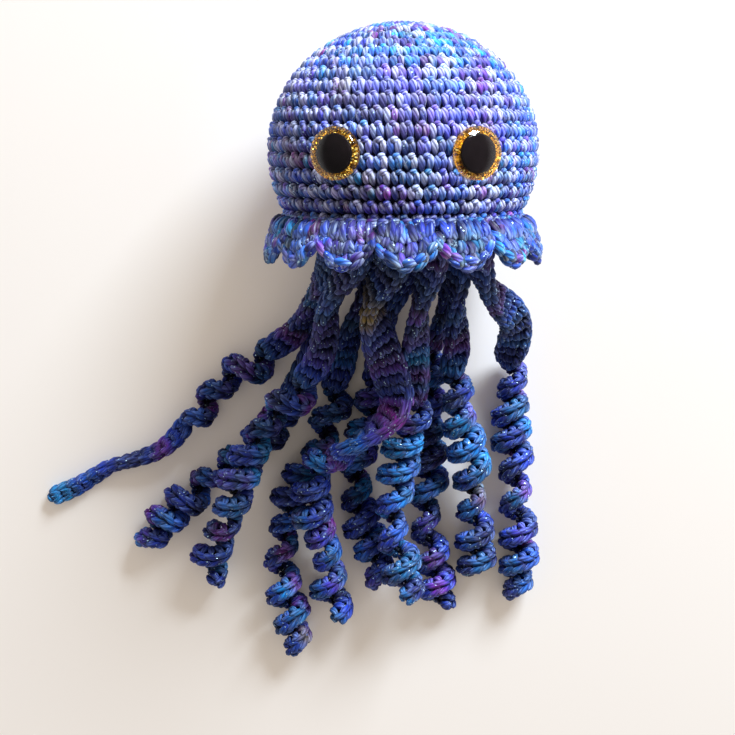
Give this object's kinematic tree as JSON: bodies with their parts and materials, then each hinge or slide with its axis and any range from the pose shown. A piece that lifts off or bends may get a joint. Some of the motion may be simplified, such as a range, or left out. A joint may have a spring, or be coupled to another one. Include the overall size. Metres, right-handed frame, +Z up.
{
  "type": "crocheted plush jellyfish",
  "caption": "Crocheted plush jellyfish lying on its back, with a bell head, glitter safety eyes, a scalloped ruffle and curly tentacles.",
  "frame": {"origin": "middle of the whole toy's box, on the surface that it lies on", "axes": "+Z up, out of the toy's face; +Y along the bell's axis towards its crown; +X to the right as the face is looked at"},
  "size_m": [0.1544, 0.195, 0.0753],
  "materials": {
    "head_yarn": "silky variegated yarn, single crochet rounds",
    "ruffle_yarn": "silky variegated yarn, scalloped shell edging",
    "tentacle_yarn": "silky variegated yarn, corkscrew strips",
    "clear_plastic": "clear moulded plastic, polished",
    "glitter": "gold glitter enamel",
    "black_plastic": "moulded, glossy",
    "white_plastic": "moulded, satin",
    "fibre": "loose polyester fibre"
  },
  "bodies": {
    "root": {"head": "head_yarn", "underside": "tentacle_yarn", "ruffle": "ruffle_yarn", "stuffing": "fibre", "eye_lens_left": "clear_plastic", "eye_lens_right": "clear_plastic", "eye_iris_left": "glitter", "eye_iris_right": "glitter", "eye_pupil_left": "black_plastic", "eye_pupil_right": "black_plastic", "eye_washer_left": "white_plastic", "eye_washer_right": "white_plastic", "tentacle_1": "tentacle_yarn", "tentacle_2": "tentacle_yarn", "tentacle_3": "tentacle_yarn", "tentacle_4": "tentacle_yarn", "tentacle_5": "tentacle_yarn", "tentacle_6": "tentacle_yarn", "tentacle_7": "tentacle_yarn", "tentacle_8": "tentacle_yarn", "tentacle_9": "tentacle_yarn", "tentacle_10": "tentacle_yarn"}
  },
  "joints": []
}
